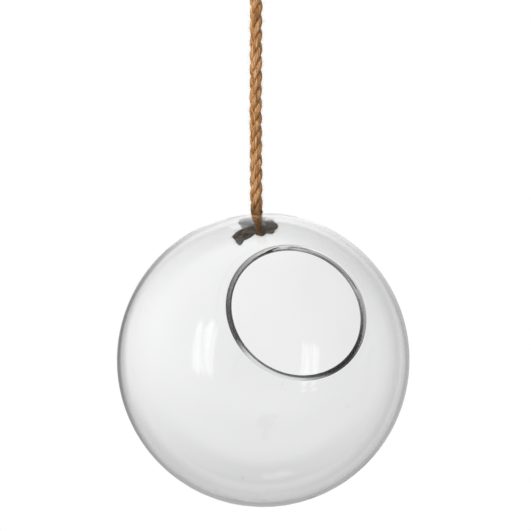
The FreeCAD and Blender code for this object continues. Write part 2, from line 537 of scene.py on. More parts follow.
@dataclass
class RopeLine:
    """The line that a stretch of rope follows, with a frame that doesn't spin at each point.

    Attributes:
        points: Places along the line, in metres.
        along: Unit direction of the line at each point.
        side: Unit direction across the line.
        up: Unit direction across both.
        reach: Length along the line to each point.
    """

    points: np.ndarray
    along: np.ndarray
    side: np.ndarray
    up: np.ndarray
    reach: np.ndarray

    @classmethod
    def through(cls, points: np.ndarray) -> "RopeLine":
        """Carries a frame along a line.

        Args:
            points: Places along the line.

        Returns:
            The line with its frames, the first of which has its side to the right.
        """
        along = unit(np.gradient(points, axis=0))
        side = np.zeros_like(points)
        carried = np.array((1.0, 0.0, 0.0))
        for index, way in enumerate(along):
            carried = carried - way * (carried @ way)
            carried = carried / np.linalg.norm(carried)
            side[index] = carried
        return cls(points, along, side, np.cross(along, side), reach_along(points))

    def length(self) -> float:
        """The line's whole length, in metres."""
        return float(self.reach[-1])

    def part(self, rows: slice) -> "RopeLine":
        """The stretch of the line that these points span."""
        return RopeLine(*(values[rows] for values in vars(self).values()))


@dataclass(frozen=True)
class LaidRope:
    """Three strands of jute yarn, laid to the right.

    Attributes:
        diameter: Across the three strands, in metres.
        lay: Length in which a strand goes once round.
        strands: How many strands.
        fullness: A strand's radius against that of strands that only touch.
        yarns: Ridges round a strand.
        ridge: Depth of the gaps between yarns, as a share of a strand's radius.
        ridge_curve: How narrow these gaps are.
        yarn_gap_shade: Their share in the painted groove shade.
        nest: Cosine round a strand from which it lies in the groove between strands, and gets painted shade.
        nest_curve: How fast the painted shade in that groove darkens.
        sides: Corners round a strand.
        step: Distance between rings.
        wobble: How far a strand strays and swells, as a share of its radius.
        stray_noise: Waves of the stray in each turn of the lay, and its places in the noise.
        swell_noise: The same of the swell.
        tone_shift: How far the strands lie apart in the fibre pattern.
    """

    diameter: float = 8.9 * MM
    lay: float = 29.2 * MM
    strands: int = 3
    fullness: float = 1.10
    yarns: int = 8
    ridge: float = 0.17
    ridge_curve: float = 1.5
    yarn_gap_shade: float = 0.35
    nest: float = 0.15
    nest_curve: float = 0.7
    sides: int = 40
    step: float = 0.55 * MM
    wobble: float = 0.10
    stray_noise: Triple = (3.0, 9.1, 4.7)
    swell_noise: Triple = (2.0, 5.3, 1.9)
    tone_shift: tuple[float, float] = (7.0, 3.0)

    def strand_radius(self) -> float:
        """Radius of one strand, a little full so that the strands press on each other."""
        return self.diameter / 2 / (1 + 2 / math.sqrt(3)) * self.fullness

    def strand_mesh(self, name: str, line: RopeLine, turn: float, grow: Callable[[float], float]) -> Mesh:
        """Makes the three strands along a line as one mesh.

        Args:
            name: The mesh's name.
            line: The line that the rope follows.
            turn: Turn of the first strand at the line's start, in radians.
            grow: Gives the rope's thickness against its full one, by the distance from the start.

        Returns:
            A closed mesh with fibre and groove attributes; the groove one sets the painted shade.
        """
        count = len(line.points)
        faces: list[tuple[int, ...]] = []
        blocks: list[tuple[np.ndarray, np.ndarray, np.ndarray]] = []
        for strand in range(self.strands):
            faces += tube_faces(strand * count * self.sides, count, self.sides)
            blocks.append(self.strand_rings(line, turn + math.tau * strand / self.strands, strand, grow))
        places, fibres, groove_shades = (np.concatenate(block) for block in zip(*blocks))
        mesh = smooth_mesh(name, places.reshape(-1, 3), faces)
        store_attribute(mesh, "fibre", "FLOAT_VECTOR", fibres)
        store_attribute(mesh, "groove", "FLOAT", groove_shades)
        return mesh

    def strand_rings(
        self, line: RopeLine, turn: float, strand: int, grow: Callable[[float], float]
    ) -> tuple[np.ndarray, np.ndarray, np.ndarray]:
        """Works out one strand.

        Args:
            line: The line that the rope follows.
            turn: Turn of the strand at the start, in radians.
            strand: The strand's number, which picks its own tone.
            grow: Gives the rope's thickness against its full one.

        Returns:
            The rings' corners, their fibre vectors and how deep each lies in a groove, which sets its
            painted shade.
        """
        radius = self.strand_radius()
        size = np.array([grow(reach) for reach in line.reach])[:, None]
        angle = turn + math.tau * line.reach / self.lay
        out = line.side * np.cos(angle)[:, None] + line.up * np.sin(angle)[:, None]
        stray = self.drift(line, strand, *self.stray_noise)
        swell = self.drift(line, strand, *self.swell_noise)
        centre = line.points + out * (self.diameter / 2 - radius + stray * radius) * size
        along = unit(np.gradient(centre, axis=0))
        outward = unit(out - along * np.sum(out * along, axis=1)[:, None])
        beside = np.cross(along, outward)
        corner = np.arange(self.sides) * math.tau / self.sides
        rate = math.tau / self.lay * self.diameter / 2 / radius
        twist = corner[None, :] + (rate * line.reach)[:, None]
        ridges = 1 - self.ridge * (1 - np.abs(np.cos(twist * self.yarns / 2))) ** self.ridge_curve
        reach = radius * size * (1 + swell) * ridges
        rings = (
            centre[:, None, :]
            + outward[:, None, :] * (reach * np.cos(corner))[:, :, None]
            + beside[:, None, :] * (reach * np.sin(corner))[:, :, None]
        )
        lengths = np.repeat(line.reach[:, None], self.sides, axis=1) / radius
        first, second = (shift * strand for shift in self.tone_shift)
        fibre = np.stack([np.cos(twist) + first, np.sin(twist) + second, lengths], axis=2)
        # Painted shade in the grooves between strands and between yarns.
        between = np.clip(self.nest - np.cos(corner), 0, 1) ** self.nest_curve
        groove = between[None, :] + (1 - ridges) / self.ridge * self.yarn_gap_shade
        return rings, fibre, np.clip(groove, 0, 1)

    def drift(self, line: RopeLine, strand: int, waves: float, stride: float, level: float) -> np.ndarray:
        """A slow wander of a strand, from its own place in the noise, at each point of a line."""
        places = np.broadcast_arrays(line.reach / self.lay * waves, strand * stride, level)
        return noise_at(np.stack(places, axis=1))[:, None] * self.wobble

    def turn_at(self, turn: float, line: RopeLine) -> float:
        """Turn of the first strand at the line's end."""
        return turn + math.tau * line.length() / self.lay


def fuzz_tree() -> NodeTree:
    """Builds the tree that sets loose fibres on a rope.

    Returns:
        A geometry tree with inputs for the fibres' number, length, thickness, seed and finish.
    """
    tree = bpy.data.node_groups.new("loose_fibres", "GeometryNodeTree")
    shape = {"Fibres per Area": "Float", "Length": "Float", "Thickness": "Float"}
    add_sockets(tree, "INPUT", {"Geometry": "Geometry", **shape, "Seed": "Int", "Finish": "Material"})
    add_sockets(tree, "OUTPUT", {"Geometry": "Geometry"})
    board = NodeBoard(tree)
    given = board.add("NodeGroupInput").outputs
    seed = {"Seed": given["Seed"]}
    scatter = board.add(
        "GeometryNodeDistributePointsOnFaces",
        {"Mesh": given["Geometry"], "Density": given["Fibres per Area"], **seed},
    ).outputs
    bend = board.add("GeometryNodeCurveQuadraticBezier", {"Resolution": 5})
    bend_shares = {"Start": (0, 0, 0), "Middle": (0.15, 0, 0.45), "End": (0.75, 0.15, 0.55)}
    for socket, share in bend_shares.items():
        scaled = board.add("ShaderNodeVectorMath", {0: share, "Scale": given["Length"]}, operation="SCALE")
        board.feed(bend, socket, scaled.outputs[0])
    section = board.add("GeometryNodeCurvePrimitiveCircle", {"Resolution": 3, "Radius": given["Thickness"]})
    tube = board.add(
        "GeometryNodeCurveToMesh",
        {"Curve": bend.outputs[0], "Profile Curve": section.outputs[0], "Fill Caps": True},
    )
    least_lean, most_lean = (-0.5, -0.5, 0.0), (0.9, 0.5, math.tau)
    lean = board.add(
        "FunctionNodeRandomValue", {0: least_lean, 1: most_lean, **seed}, data_type="FLOAT_VECTOR"
    )
    turned = board.add(
        "FunctionNodeRotateRotation", {0: scatter["Rotation"], 1: lean.outputs[0]}, rotation_space="LOCAL"
    )
    least_size, most_size = 0.35, 1.0
    size = board.add("FunctionNodeRandomValue", {2: least_size, 3: most_size, **seed}, data_type="FLOAT")
    place = board.add(
        "GeometryNodeInstanceOnPoints",
        {
            "Points": scatter["Points"],
            "Instance": tube.outputs[0],
            "Rotation": turned.outputs[0],
            "Scale": size.outputs[1],
        },
    )
    real = board.add("GeometryNodeRealizeInstances", {0: place.outputs[0]})
    inputs = {"Geometry": real.outputs[0], "Material": given["Finish"]}
    finish = board.add("GeometryNodeSetMaterial", inputs)
    board.add("NodeGroupOutput", {0: finish.outputs[0]})
    return tree


def socket_key(tree: NodeTree, name: str) -> str:
    """Gives the identifier of a tree's named input."""
    named = (item for item in tree.interface.items_tree if item.name == name and item.in_out == "INPUT")
    return next(named).identifier


@dataclass(frozen=True)
class LooseFibres:
    """Fibres that stand off a rope.

    Attributes:
        per_area: Fibres in each square metre of rope.
        length: Length of the longest, in metres.
        thickness: Radius of a fibre, in metres.
    """

    per_area: float = 0.55e6
    length: float = 3.4 * MM
    thickness: float = 0.03 * MM

    def on(self, rope: Object, tree: NodeTree, finish: Material, seed: int) -> Object:
        """Sets fibres on a rope.

        Args:
            rope: The rope's strands.
            tree: The geometry tree that sets the fibres.
            finish: The fibres' material.
            seed: Fixed seed of the scatter.

        Returns:
            The fibres as one plain mesh.
        """
        source = rope.data.copy()
        carrier = new_object(rope.name + "_fibre_carrier", source, finish)
        setter = carrier.modifiers.new("fibres", "NODES")
        setter.node_group = tree
        values = {
            "Fibres per Area": self.per_area,
            "Length": self.length,
            "Thickness": self.thickness,
            "Seed": seed,
            "Finish": finish,
        }
        for name, value in values.items():
            setter[socket_key(tree, name)] = value
        evaluated = carrier.evaluated_get(bpy.context.evaluated_depsgraph_get())
        mesh = bpy.data.meshes.new_from_object(evaluated)
        bpy.data.objects.remove(carrier)
        bpy.data.meshes.remove(source)
        fibres = bpy.data.objects.new(rope.name + "_fibres", mesh)
        bpy.context.collection.objects.link(fibres)
        return fibres


# Sizes and places of the rope and the globe in metres, as the solids have them, and the rope's routes
ROPE_DIAMETER = 0.008
LOOP_LENGTH = 0.060
COIL_RADIUS = 0.0085
COIL_LEAD_IN = 0.006
COIL_EASE = 0.001
COIL_PITCH = 0.0086
COIL_TURNS = 3
COIL_STEPS = 12
GLOBE_CENTRE = (0.0046, -0.0039, -0.354618)
GLOBE_INSIDE = 0.0975

LOOP_ROUTE = [
    (0.0, 0.0, -0.063),
    (0.0, 0.0, -0.050),
    (-0.0060, 0.0, -0.029),
    (-0.0114, 0.0, -0.0095),
    (-0.0096, 0.0, 0.0016),
    (0.0, 0.0, 0.0048),
    (0.0098, 0.0, 0.0016),
    (0.0118, 0.0, -0.0095),
    (0.0098, 0.0, -0.029),
    (0.0085, 0.0, -0.050),
    (0.0085, 0.0, -0.063),
]

STANDING_ROUTE = [(0.0, 0.0, -0.058), (0.0, 0.0, -0.080), (0.0, 0.0, -0.099)]

HANGING_ROUTE = [
    (0.0, 0.0, -0.094),
    (-0.0005, 0.0, -0.112),
    (-0.0003, 0.0, -0.150),
    (-0.0007, 0.0, -0.186),
    (-0.0002, 0.0, -0.222),
    (-0.0004, 0.0, -0.242),
    (0.0004, 0.0, -0.257),
]

# The knot's points, moved from the solids' so that it lies flatter under the glass
KNOT_ROUTE = [
    (0.0004, 0.0, -0.2570),
    (0.0008, -0.0005, -0.2610),
    (0.0014, -0.0020, -0.2655),
    (0.0028, -0.0075, -0.2683),
    (0.0030, -0.0130, -0.2660),
    (0.0005, -0.0140, -0.2618),
    (-0.0055, -0.0110, -0.2604),
    (-0.0094, -0.0040, -0.2606),
    (-0.0080, 0.0050, -0.2608),
    (0.0005, 0.0090, -0.2610),
    (0.0080, 0.0066, -0.2612),
    (0.0109, -0.0005, -0.2634),
    (0.0082, -0.0076, -0.2666),
    (0.0015, -0.0082, -0.2652),
    (-0.0045, -0.0076, -0.2670),
    (-0.0095, -0.0075, -0.2702),
    (-0.0140, -0.0075, -0.2734),
]


def coil_route(start: float, end: Triple) -> list[Triple]:
    """Lays the loop knot's coil, with the rope that leads into it and the end that leaves it.

    Args:
        start: Height where the rope leaves the loop, in metres.
        end: The way from the coil's last point to the cut end.

    Returns:
        The route's points, in metres.
    """
    lead = -LOOP_LENGTH - COIL_LEAD_IN
    reach = COIL_RADIUS / math.cos(math.pi / COIL_STEPS)
    route = [(COIL_RADIUS, 0.0, start), (COIL_RADIUS, 0.0, lead + COIL_EASE)]
    for index in range(COIL_TURNS * COIL_STEPS + 1):
        angle = math.tau / COIL_STEPS * (index + 0.5)
        height = lead - ROPE_DIAMETER / 2 - COIL_PITCH / COIL_STEPS * index
        route.append((reach * math.cos(angle), reach * math.sin(angle), height))
    x, y, z = route[-1]
    route.append((x + end[0], y + end[1], z + end[2]))
    return route


@dataclass
class JuteRope:
    """The one length of rope: loop, loop knot, hanging stretch, stopper knot and cut tail.

    Attributes:
        rope: The rope's make.
        fibre: The rope's finish.
        knot_fibre: The rope's finish in darker tones, painted shade for the stopper knot and tail inside the
            glass.
        fuzz: Its loose fibres.
        pressed: Thickness against the free rope where it is bent tight.
        gripped: The same inside the loop knot's coil.
        coil_end: The way from the coil's last point to the cut end.
        knot_thickness: Shares of the way through the stopper knot, each with its thickness
            against the free rope.
        knot_shade: Shares of the way through the stopper knot, each with how much shade is painted on it.
        tail_length: Length of the cut end, in metres.
        tail_spread: How much the strands open at the cut, as a share.
        glass_gap: Least gap between the pressed knot and the glass.
        hole_reach: Distances from the rope's axis where the pressing starts and is whole.
        loop_turn: Turn of the first strand where the loop starts, in radians.
        coil_turn: The same where the coil starts.
        hanging_turn: The same where the hanging stretch starts.
        shade_from: Height from which shade is painted on the rope, darker towards the hole.
        shade_reach: Length over which it does so.
        hole_shade: How much shade is painted at the hole.
        shade_groove: The groove value, and so the painted shade, where that shade is whole.
    """

    rope: LaidRope
    fibre: JuteFibre
    knot_fibre: JuteFibre
    fuzz: LooseFibres
    pressed: float = 0.92
    gripped: float = 0.86
    coil_end: Triple = (-3.5 * MM, 5.5 * MM, -3.2 * MM)
    knot_thickness: Pairs = (
        (0.0, 1.0),
        (0.10, 0.86),
        (0.30, 0.82),
        (0.50, 0.92),
        (0.66, 1.16),
        (0.78, 0.90),
        (0.90, 0.98),
        (1.0, 1.04),
    )
    # Painted shade where the knot starts, just inside the glass.
    knot_shade: Pairs = ((0.0, 0.9), (0.10, 1.1), (0.30, 1.1), (0.37, 0.0))
    tail_length: float = 6.0 * MM
    tail_spread: float = 0.08
    glass_gap: float = 0.25 * MM
    hole_reach: tuple[float, float] = (4.6 * MM, 5.8 * MM)
    loop_turn: float = 0.3
    coil_turn: float = 1.1
    hanging_turn: float = 0.6
    # Painted shade on the rope towards the hole.
    shade_from: float = -244.0 * MM
    shade_reach: float = 8.0 * MM
    hole_shade: float = 0.9
    shade_groove: float = 1.3

    def build(self) -> None:
        group = jute_group()
        self.finish = self.fibre.material("jute_strands", group)
        self.fuzz_finish = self.fibre.material("jute_loose_fibres", group)
        # The stopper knot and tail take the jute finish in darker tones, as painted shade.
        self.shaded_knot_finish = self.knot_fibre.material("jute_in_stopper_knot", group)
        self.tree = fuzz_tree()
        loop = self.hanging_loop()
        upper = self.loop_knot()
        hanging, line = self.hanging_rope()
        knot, tail = self.stopper_knot(self.rope.turn_at(self.hanging_turn, line))
        line.length()

    def line(self, name: str, route: Sequence[Triple]) -> RopeLine:
        """The smooth line of a route, with a point for each ring."""
        return RopeLine.through(smooth_line(name, route, self.rope.step))

    def stretch(self, name: str, route: Sequence[Triple], turn: float, size: float) -> Object:
        """Makes a stretch of rope of one thickness, given against the free rope's, as one object."""
        mesh = self.rope.strand_mesh(name, self.line(name, route), turn, lambda reach: size)
        return new_object(name, mesh, self.finish)

    def dress(self, piece: Object, seed: int, node: str, seat: Seat) -> Object:
        """Adds loose fibres to a stretch, hides the solid that it stands for and sets both in their place.

        Args:
            piece: The stretch's strands.
            seed: Fixed seed of its fibres.
            node: The frame's node that it stands for.
            seat: The body or bodies that it rides on.

        Returns:
            The stretch's strands.
        """
        # Fibres on the stopper knot take its finish with painted shade.
        shaded_knot = piece.data.materials[0] == self.shaded_knot_finish
        fibres = self.fuzz.on(piece, self.tree, self.shaded_knot_finish if shaded_knot else self.fuzz_finish, seed)
        for part in (piece, fibres):
            seat.place(part)
        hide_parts(node)
        counts = len(piece.data.vertices), len(fibres.data.vertices)
        log.info("%s: %d corners, %d in loose fibres", piece.name, *counts)
        return piece

    def hanging_loop(self) -> Object:
        """The loop that goes over a hook, between the hook and the loop knot."""
        loop = self.stretch("hanging_loop", LOOP_ROUTE, self.loop_turn, self.pressed)
        return self.dress(loop, 11, "hanging_loop", Seat(Body.LOOP, Body.UPPER_KNOT, -0.012, -0.058))

    def loop_knot(self) -> Object:
        """Builds the rope's end, wound round the standing part, and the standing part inside it.

        Returns:
            The wound end.
        """
        start = STANDING_ROUTE[0][2]
        knot = self.stretch("loop_knot", coil_route(start, self.coil_end), self.coil_turn, self.pressed)
        inner = self.stretch("standing_part", STANDING_ROUTE, self.loop_turn, self.gripped)
        seat = Seat(Body.UPPER_KNOT)
        self.dress(knot, 12, "loop_knot", seat)
        seat.place(inner)
        log.info("%s: %d corners", inner.name, len(inner.data.vertices))
        return knot

    def hanging_rope(self) -> tuple[Object, RopeLine]:
        """The stretch that carries the globe, below the loop knot.

        Returns:
            The stretch and its line.
        """
        line = self.line("hanging_rope", HANGING_ROUTE)
        mesh = self.rope.strand_mesh("hanging_rope", line, self.hanging_turn, lambda reach: 1.0)
        # Painted shade: the rope darkens towards the hole.
        shade_by_hole = fade(corners(mesh)[:, 2], self.shade_from, self.shade_from - self.shade_reach)
        self.paint_shade(mesh, self.hole_shade * shade_by_hole)
        stretch = new_object("hanging_rope", mesh, self.finish)
        seat = Seat(Body.UPPER_KNOT, Body.ROPE, -0.098, -0.110)
        return self.dress(stretch, 13, "hanging_rope", seat), line

    def press_on_glass(self, mesh: Mesh) -> None:
        """Presses a mesh flat where the globe's weight bears on it, all but what is in the hole.

        Args:
            mesh: The stopper knot's strands.
        """
        points = corners(mesh)
        away = points - np.array(GLOBE_CENTRE)
        beyond = np.clip(1 - (GLOBE_INSIDE - self.glass_gap) / np.linalg.norm(away, axis=1), 0, 1)
        share = fade(np.linalg.norm(points[:, :2], axis=1), *self.hole_reach)
        points -= away * (beyond * share)[:, None]
        mesh.vertices.foreach_set("co", points.ravel())
        mesh.update()

    def paint_shade(self, mesh: Mesh, shares: np.ndarray) -> None:
        """Paints shade on the strands, by raising their groove value towards the darkest.

        Args:
            mesh: The strands.
            shares: How far each corner goes towards the dark tone.
        """
        groove = mesh.attributes["groove"].data
        values = np.zeros(len(groove), dtype=np.float32)
        groove.foreach_get("value", values)
        groove.foreach_set("value", (values + (self.shade_groove - values) * shares).astype(np.float32))

    def stopper_knot(self, turn: float) -> tuple[Object, Object]:
        """The overhand knot inside the globe and its cut tail.

        Args:
            turn: Turn of the first strand where the knot starts.

        Returns:
            The knot and the tail.
        """
        line = self.line("stopper_knot", KNOT_ROUTE)
        cut = int(np.searchsorted(line.reach, line.length() - self.tail_length))
        first, rest = line.part(slice(cut + 1)), line.part(slice(cut, None))

        def tighten(reach: float) -> float:
            """Thins the rope where the knot grips it."""
            return float(np.interp(reach / line.length(), *zip(*self.knot_thickness)))

        def fray(reach: float) -> float:
            """Opens the strands towards the cut."""
            share = (reach - float(rest.reach[0])) / self.tail_length
            return tighten(reach) * (1.0 + self.tail_spread * share**2)

        mesh = self.rope.strand_mesh("stopper_knot", first, turn, tighten)
        self.press_on_glass(mesh)
        # Painted shade where the knot starts, just inside the glass.
        ring_shares = np.interp(first.reach / line.length(), *zip(*self.knot_shade))
        self.paint_shade(mesh, np.tile(np.repeat(ring_shares, self.rope.sides), self.rope.strands))
        knot = new_object("stopper_knot", mesh, self.shaded_knot_finish)
        end = self.rope.strand_mesh("rope_tail", rest, turn, fray)
        tail = new_object("rope_tail", end, self.shaded_knot_finish)
        seat = Seat(Body.LOWER_KNOT)
        return self.dress(knot, 14, "stopper_knot", seat), self.dress(tail, 15, "rope_tail", seat)


# Glass


@dataclass
class GlassGlobe:
    """The blown globe with its mouth and rope hole.

    Attributes:
        wall: Thickness of the glass, in metres.
        mouth_diameter: Clear width of the mouth.
        bead: Thickness of the rounded lip.
        fillet: Softness of the corner where the lip meets the wall.
        mouth_turn: Turn of the mouth to +X, in degrees.
        mouth_rise: Tilt of the mouth upwards, in degrees.
        hole_diameter: Width of the hole for the rope.
        segments: Corners round a ring.
        blend: Width over which the wall swells into the lip, in lip thicknesses.
        blend_rings: Rings on each side of the wall there.
        blend_curve: How much these rings crowd towards the lip.
        bead_rings: Rings round the lip.
        hole_rings: Rings round the hole's edge.
        unevenness: How much the wall's thickness varies.
        waves: Waves of that in each radius of the globe.
        wave_place: Its place in the noise.
        bubble_sides: Corners round a trapped bubble.
        bubble_rings: Rings of a trapped bubble.
        bubble_cap: Degrees from a bubble's waist to its last rings.
        bubble_stretch: Width of a bubble against its height.
        seeds: Trapped bubbles, each with degrees round the globe to the right from its front,
            degrees up, and radius in metres.
        lip_shade_depths: Degrees round the mouth, each with how much shade is painted on the lip there.
        lip_shade_lines: Degrees round the mouth, each with the darkness of the painted shade line
            along the lip's inner edge and its width in degrees round the bead.
        lip_lean: How far that line shifts round the bead, in degrees, and the place round the
            mouth where it shifts outwards most.
        line_start: Degrees round the bead where that line starts and where it is whole.
        line_softness: Degrees over which its far edge fades, to each side.
        painted_lip_glow_levels: Degrees round the mouth, each with the brightness of the glow
            painted on the lip as light, where no lamp is.
        painted_glow_edges: Degrees round the bead where that painted glow starts and is whole, and
            where it ends and is still whole.
        lip_softness: Width over which the lip's painted shade fades out, in metres.
        finish: The glass.
    """

    wall: float = 2.5 * MM
    mouth_diameter: float = 80.4 * MM
    bead: float = 3.6 * MM
    fillet: float = 0.25 * MM
    mouth_turn: float = 14.6
    mouth_rise: float = 23.9
    hole_diameter: float = 12.0 * MM
    segments: int = 240
    blend: float = 2.0
    blend_rings: int = 33
    blend_curve: float = 1.6
    bead_rings: int = 23
    hole_rings: int = 11
    unevenness: float = 0.12 * MM
    waves: float = 1.3
    wave_place: Triple = (3.1, 7.7, 1.2)
    bubble_sides: int = 12
    bubble_rings: int = 7
    bubble_cap: float = 80.0
    bubble_stretch: float = 1.5
    seeds: tuple[Triple, ...] = (
        (-52.3, 21.2, 0.26 * MM),
        (-9.4, -41.3, 0.34 * MM),
        (2.8, -49.2, 0.26 * MM),
        (-0.9, -65.1, 0.26 * MM),
        (8.4, -33.3, 0.20 * MM),
        (31.9, -12.0, 0.30 * MM),
        (6.5, -3.0, 0.22 * MM),
    )
    # Painted shade on the lip, by place round the mouth.
    lip_shade_depths: Pairs = (
        (0, 0.74), (30, 0.40), (90, 0.46), (125, 0.56), (150, 0.68), (180, 0.90), (204, 0.92),
        (222, 0.12), (250, 0.14), (270, 0.28), (286, 0.70), (300, 0.95), (320, 0.98), (342, 0.86),
    )
    lip_shade_lines: tuple[Triple, ...] = (
        (0, 0.90, 48), (45, 0.80, 36), (90, 0.85, 40), (135, 0.96, 46), (180, 0.92, 40),
        (225, 0.90, 40), (270, 0.95, 52), (300, 1.00, 78), (335, 1.00, 78),
    )
    lip_lean: tuple[float, float] = (28.0, 240.0)
    line_start: tuple[float, float] = (-10.0, -4.0)
    line_softness: float = 4.0
    # Painted light on the lip, by place round the mouth.
    painted_lip_glow_levels: Pairs = ((14, 0.0), (34, 0.30), (55, 0.38), (74, 0.46), (86, 0.20), (94, 0.0))
    painted_glow_edges: Pairs = ((44.0, 54.0), (138.0, 128.0))
    lip_softness: float = 0.3 * MM
    finish: ClearGlass = ClearGlass()

    def __post_init__(self) -> None:
        """Takes the globe's size and place from the frame, and works out where its edges lie."""
        lowest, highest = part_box("glass_globe")
        self.radius = (highest.x - lowest.x) / 2
        middle = (lowest.x + highest.x) / 2
        self.centre = np.array((middle, highest.y - self.radius, lowest.z + self.radius))
        self.middle = self.radius - self.wall / 2
        self.blend_reach = self.blend * self.bead
        self.bead_angle = math.asin((self.mouth_diameter + self.bead) / 2 / self.middle)
        self.hole_angle = (self.hole_diameter / 2 + self.wall / 2) / self.middle
        self.mouth_axis = np.array(direction(self.mouth_turn, self.mouth_rise))
        aside = Vector((-self.centre[0], -self.centre[1], 0.0))
        aside.z = math.sqrt(self.radius**2 - aside.length_squared)
        self.hole_axis = np.array(aside.normalized())

    def thickness(self, from_lip: float) -> float:
        """Works out how thick the wall is beside the lip.

        Args:
            from_lip: Distance from the lip's centre line, in metres.

        Returns:
            The thickness, with a soft corner where the lip meets the wall.
        """
        radius = self.bead / 2
        swell = math.sqrt(radius**2 - from_lip**2) if from_lip < radius else radius - from_lip
        wall = self.wall / 2
        return wall + swell + math.sqrt((wall - swell) ** 2 + self.fillet**2)

    def directions(self, mouth_angle: float) -> np.ndarray:
        """Lays even rings between the two openings, each a circle on the ball.

        Args:
            mouth_angle: Angle from the mouth's axis to the last ring.

        Returns:
            Unit directions, by ring and corner, from the hole's ring to the mouth's.
        """
        up, mouth = self.hole_axis, self.mouth_axis
        between = math.acos(float(up @ mouth))
        toward = (mouth - up * (up @ mouth)) / math.sin(between)
        aside = np.cross(up, toward)
        near, far = math.tan((between - mouth_angle) / 2), math.tan((between + mouth_angle) / 2)
        hole = math.tan(self.hole_angle / 2)
        centre, radius = (near + far) / 2, (far - near) / 2
        total = (centre**2 + hole**2 - radius**2) / centre
        spread = math.sqrt(total**2 / 4 - hole**2)
        inner_pole, outer_pole = total / 2 - spread, total / 2 + spread

        def level(place: float) -> float:
            """Size of a place on the even map."""
            return math.log(abs((place - inner_pole) / (place - outer_pole)))

        first, last = level(hole), level(near)
        rings = int(round((last - first) / (math.tau / self.segments))) + 1
        sizes = np.exp(np.linspace(first, last, rings))
        turns = np.exp(1j * (np.arange(self.segments) + 0.5) * math.tau / self.segments)
        even = sizes[:, None] * turns[None, :]
        top, bottom = inner_pole - outer_pole * even, 1 - even
        total_size = np.abs(top) ** 2 + np.abs(bottom) ** 2
        plane = 2 * top * np.conj(bottom) / total_size
        height = (np.abs(bottom) ** 2 - np.abs(top) ** 2) / total_size
        return plane.real[..., None] * toward + plane.imag[..., None] * aside + height[..., None] * up

    def bubble(self, turn: float, rise: float, size: float) -> np.ndarray:
        """Makes one trapped bubble in the middle of the wall.

        Args:
            turn: Degrees round the globe, to the right from its front.
            rise: Degrees up.
            size: Radius, in metres.

        Returns:
            The bubble's corners, ring by ring.
        """
        out = direction(turn, rise)
        wide = out.cross(Vector((0, 0, 1))).normalized()
        high = out.cross(wide)
        points = []
        for level in np.radians(np.linspace(-self.bubble_cap, self.bubble_cap, self.bubble_rings)):
            for angle in np.arange(self.bubble_sides) * math.tau / self.bubble_sides:
                aside = wide * math.cos(angle) * self.bubble_stretch + high * math.sin(angle)
                points.append(out * self.middle + (out * math.sin(level) + aside * math.cos(level)) * size)
        return np.array(points) + self.centre

    def lip_shade_and_glow(self, away: np.ndarray) -> tuple[np.ndarray, np.ndarray]:
        """Finds how much painted shade and painted glow each corner of the lip has.

        Args:
            away: The corners, from the globe's centre.

        Returns:
            Shares of painted shade from 0 in the wall to 1 in the darkest part of the lip, and the
            brightness of the glow painted on the lip.
        """
        distance = np.linalg.norm(away, axis=1)
        angle = np.arccos(np.clip(away @ self.mouth_axis / distance, -1, 1))
        beyond = (angle - self.bead_angle) * self.middle
        edge = math.sqrt((self.bead / 2) ** 2 - (self.wall / 2) ** 2)
        flat = across(away, self.mouth_axis)
        place = np.degrees(np.arctan2(flat[:, 2], flat[:, 0])) % 360

        def at_place(rows: Sequence[Sequence[float]], column: int = 1) -> np.ndarray:
            """Reads a table by the place round the mouth."""
            return np.interp(place, [row[0] for row in rows], [row[column] for row in rows], period=360)

        soft = self.lip_softness / 2
        depth = at_place(self.lip_shade_depths) * fade(beyond, edge + soft, edge - soft)
        lean, side = self.lip_lean
        tube = np.degrees(np.arctan2(distance - self.middle, -beyond))
        tube -= lean * np.cos(np.radians(place - side))
        width, soft = at_place(self.lip_shade_lines, 2), self.line_softness
        line = at_place(self.lip_shade_lines) * fade(tube, *self.line_start)
        line = line * fade(tube, width + soft, width - soft)
        # tint is the painted shade of the lip: its darkness by place, and the dark line along its inner
        # edge.
        tint = np.where(beyond < edge, np.maximum(depth, line), depth)
        # light is the glow painted on the lip as light, where no lamp is.
        light = at_place(self.painted_lip_glow_levels)
        for edges in self.painted_glow_edges:
            light = light * fade(tube, *edges)
        return tint, np.where(np.abs(beyond) < self.blend_reach, light, 0.0)

    def inner_ring(self, row: np.ndarray) -> np.ndarray:
        """One ring of the inner surface, which is uneven, from the directions of its corners."""
        uneven = self.unevenness * noise_at(row * self.waves + np.array(self.wave_place))
        return row * (self.middle - self.wall / 2 + uneven)[:, None]

    def rim_ring(self, row: np.ndarray, from_lip: float, offset: float) -> np.ndarray:
        """One ring round the mouth, by its distances from the lip's centre line and the wall's middle."""
        angle, radius = self.bead_angle + from_lip / self.middle, self.middle + offset
        return ring_about(row, self.mouth_axis, radius * math.sin(angle), radius * math.cos(angle))

